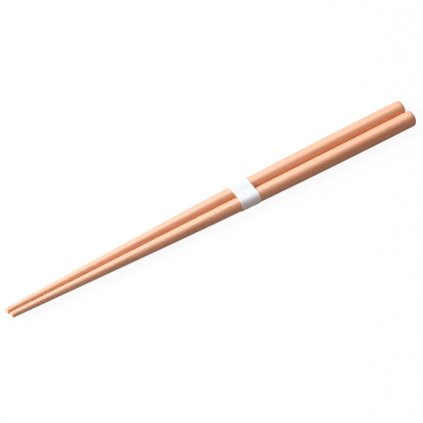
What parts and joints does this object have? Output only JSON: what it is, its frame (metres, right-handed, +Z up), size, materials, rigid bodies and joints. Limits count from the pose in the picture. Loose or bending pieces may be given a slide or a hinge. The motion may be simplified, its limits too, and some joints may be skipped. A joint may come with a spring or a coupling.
{
  "type": "pair of wooden chopsticks",
  "caption": "Pair of tapered wooden chopsticks with rounded square section, lying side by side and held together near the middle by a plain glued paper band.",
  "frame": {"origin": "on the surface that the pair lies on, under the middle of its length and on the seam between the sticks", "axes": "+X along the sticks towards the thick butt ends, +Y from the front stick to the rear one, +Z up"},
  "size_m": [0.2408, 0.0166, 0.0082],
  "materials": {
    "wood": "sanded smooth, satin",
    "paper": "plain white, uncoated"
  },
  "bodies": {
    "root": {"front_chopstick": "wood", "rear_chopstick": "wood", "paper_band": "paper"}
  },
  "joints": []
}
